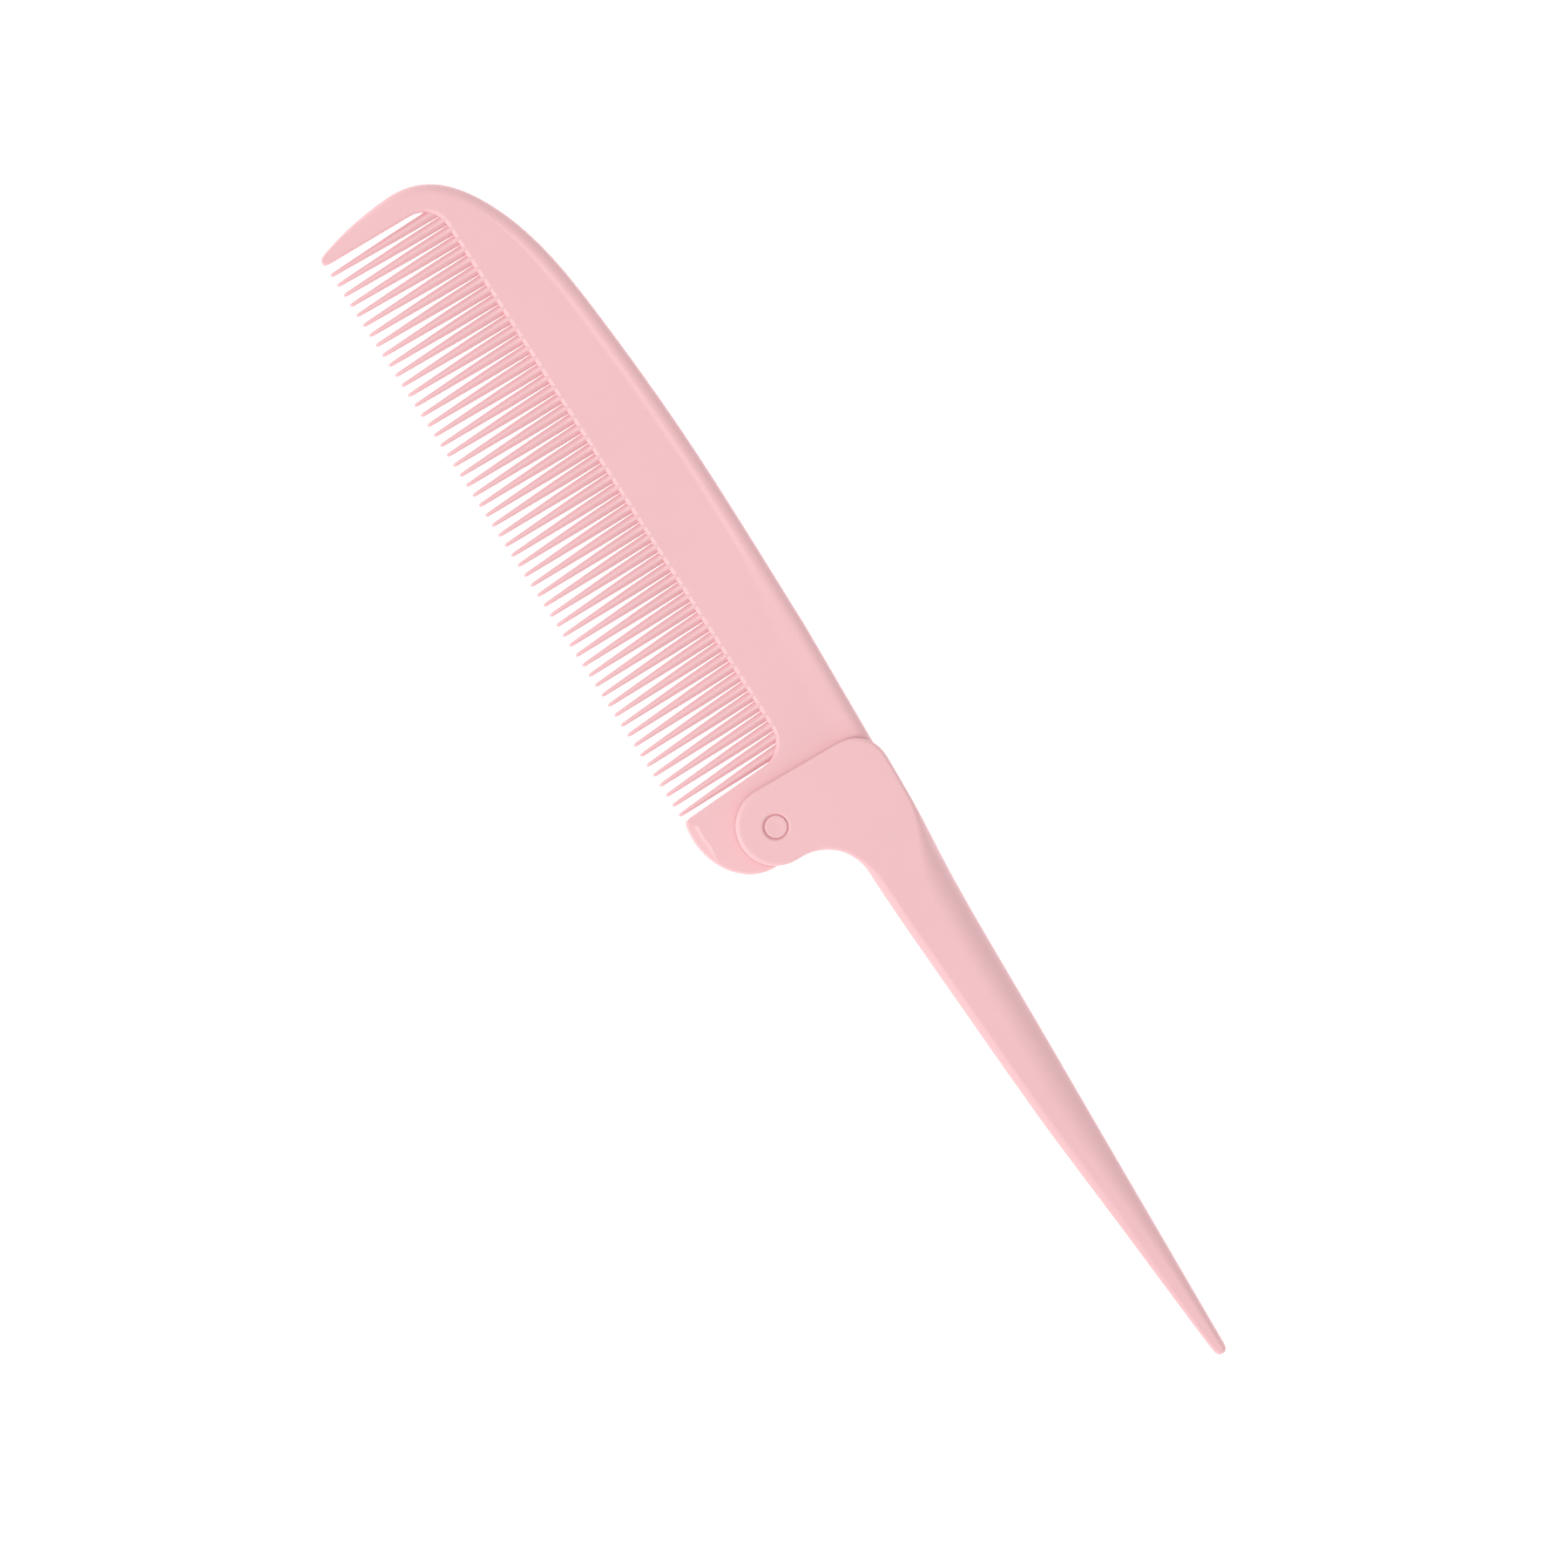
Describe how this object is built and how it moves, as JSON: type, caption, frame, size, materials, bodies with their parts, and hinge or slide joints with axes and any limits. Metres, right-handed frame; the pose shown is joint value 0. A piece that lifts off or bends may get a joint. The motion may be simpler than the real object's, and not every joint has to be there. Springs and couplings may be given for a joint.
{
  "type": "folding rat tail comb",
  "caption": "Fine-toothed hair comb on a pin hinge in a forked handle that runs out into a long pointed tail for parting hair.",
  "frame": {"origin": "on the pivot axis, where it meets the flat back of the handle's head", "axes": "+X runs along the open comb away from the tail, +Y towards the tips of the teeth, +Z from the head's flat back to its front"},
  "size_m": [0.2153, 0.0366, 0.0064],
  "materials": {
    "handle_plastic": "satin, moulded in pale pink",
    "pin_plastic": "satin, moulded in pale pink",
    "comb_plastic": "satin, moulded in pale pink"
  },
  "bodies": {
    "handle": {"handle": "handle_plastic", "pivot_pin": "pin_plastic"},
    "comb": {"comb_spine": "comb_plastic", "comb_teeth": "comb_plastic"}
  },
  "joints": [
    {"name": "comb_fold", "type": "hinge", "parent": "handle", "child": "comb", "pos_m": [0, 0, 0.0032], "axis": [0, 0, 1], "range_deg": [0, 180]}
  ]
}
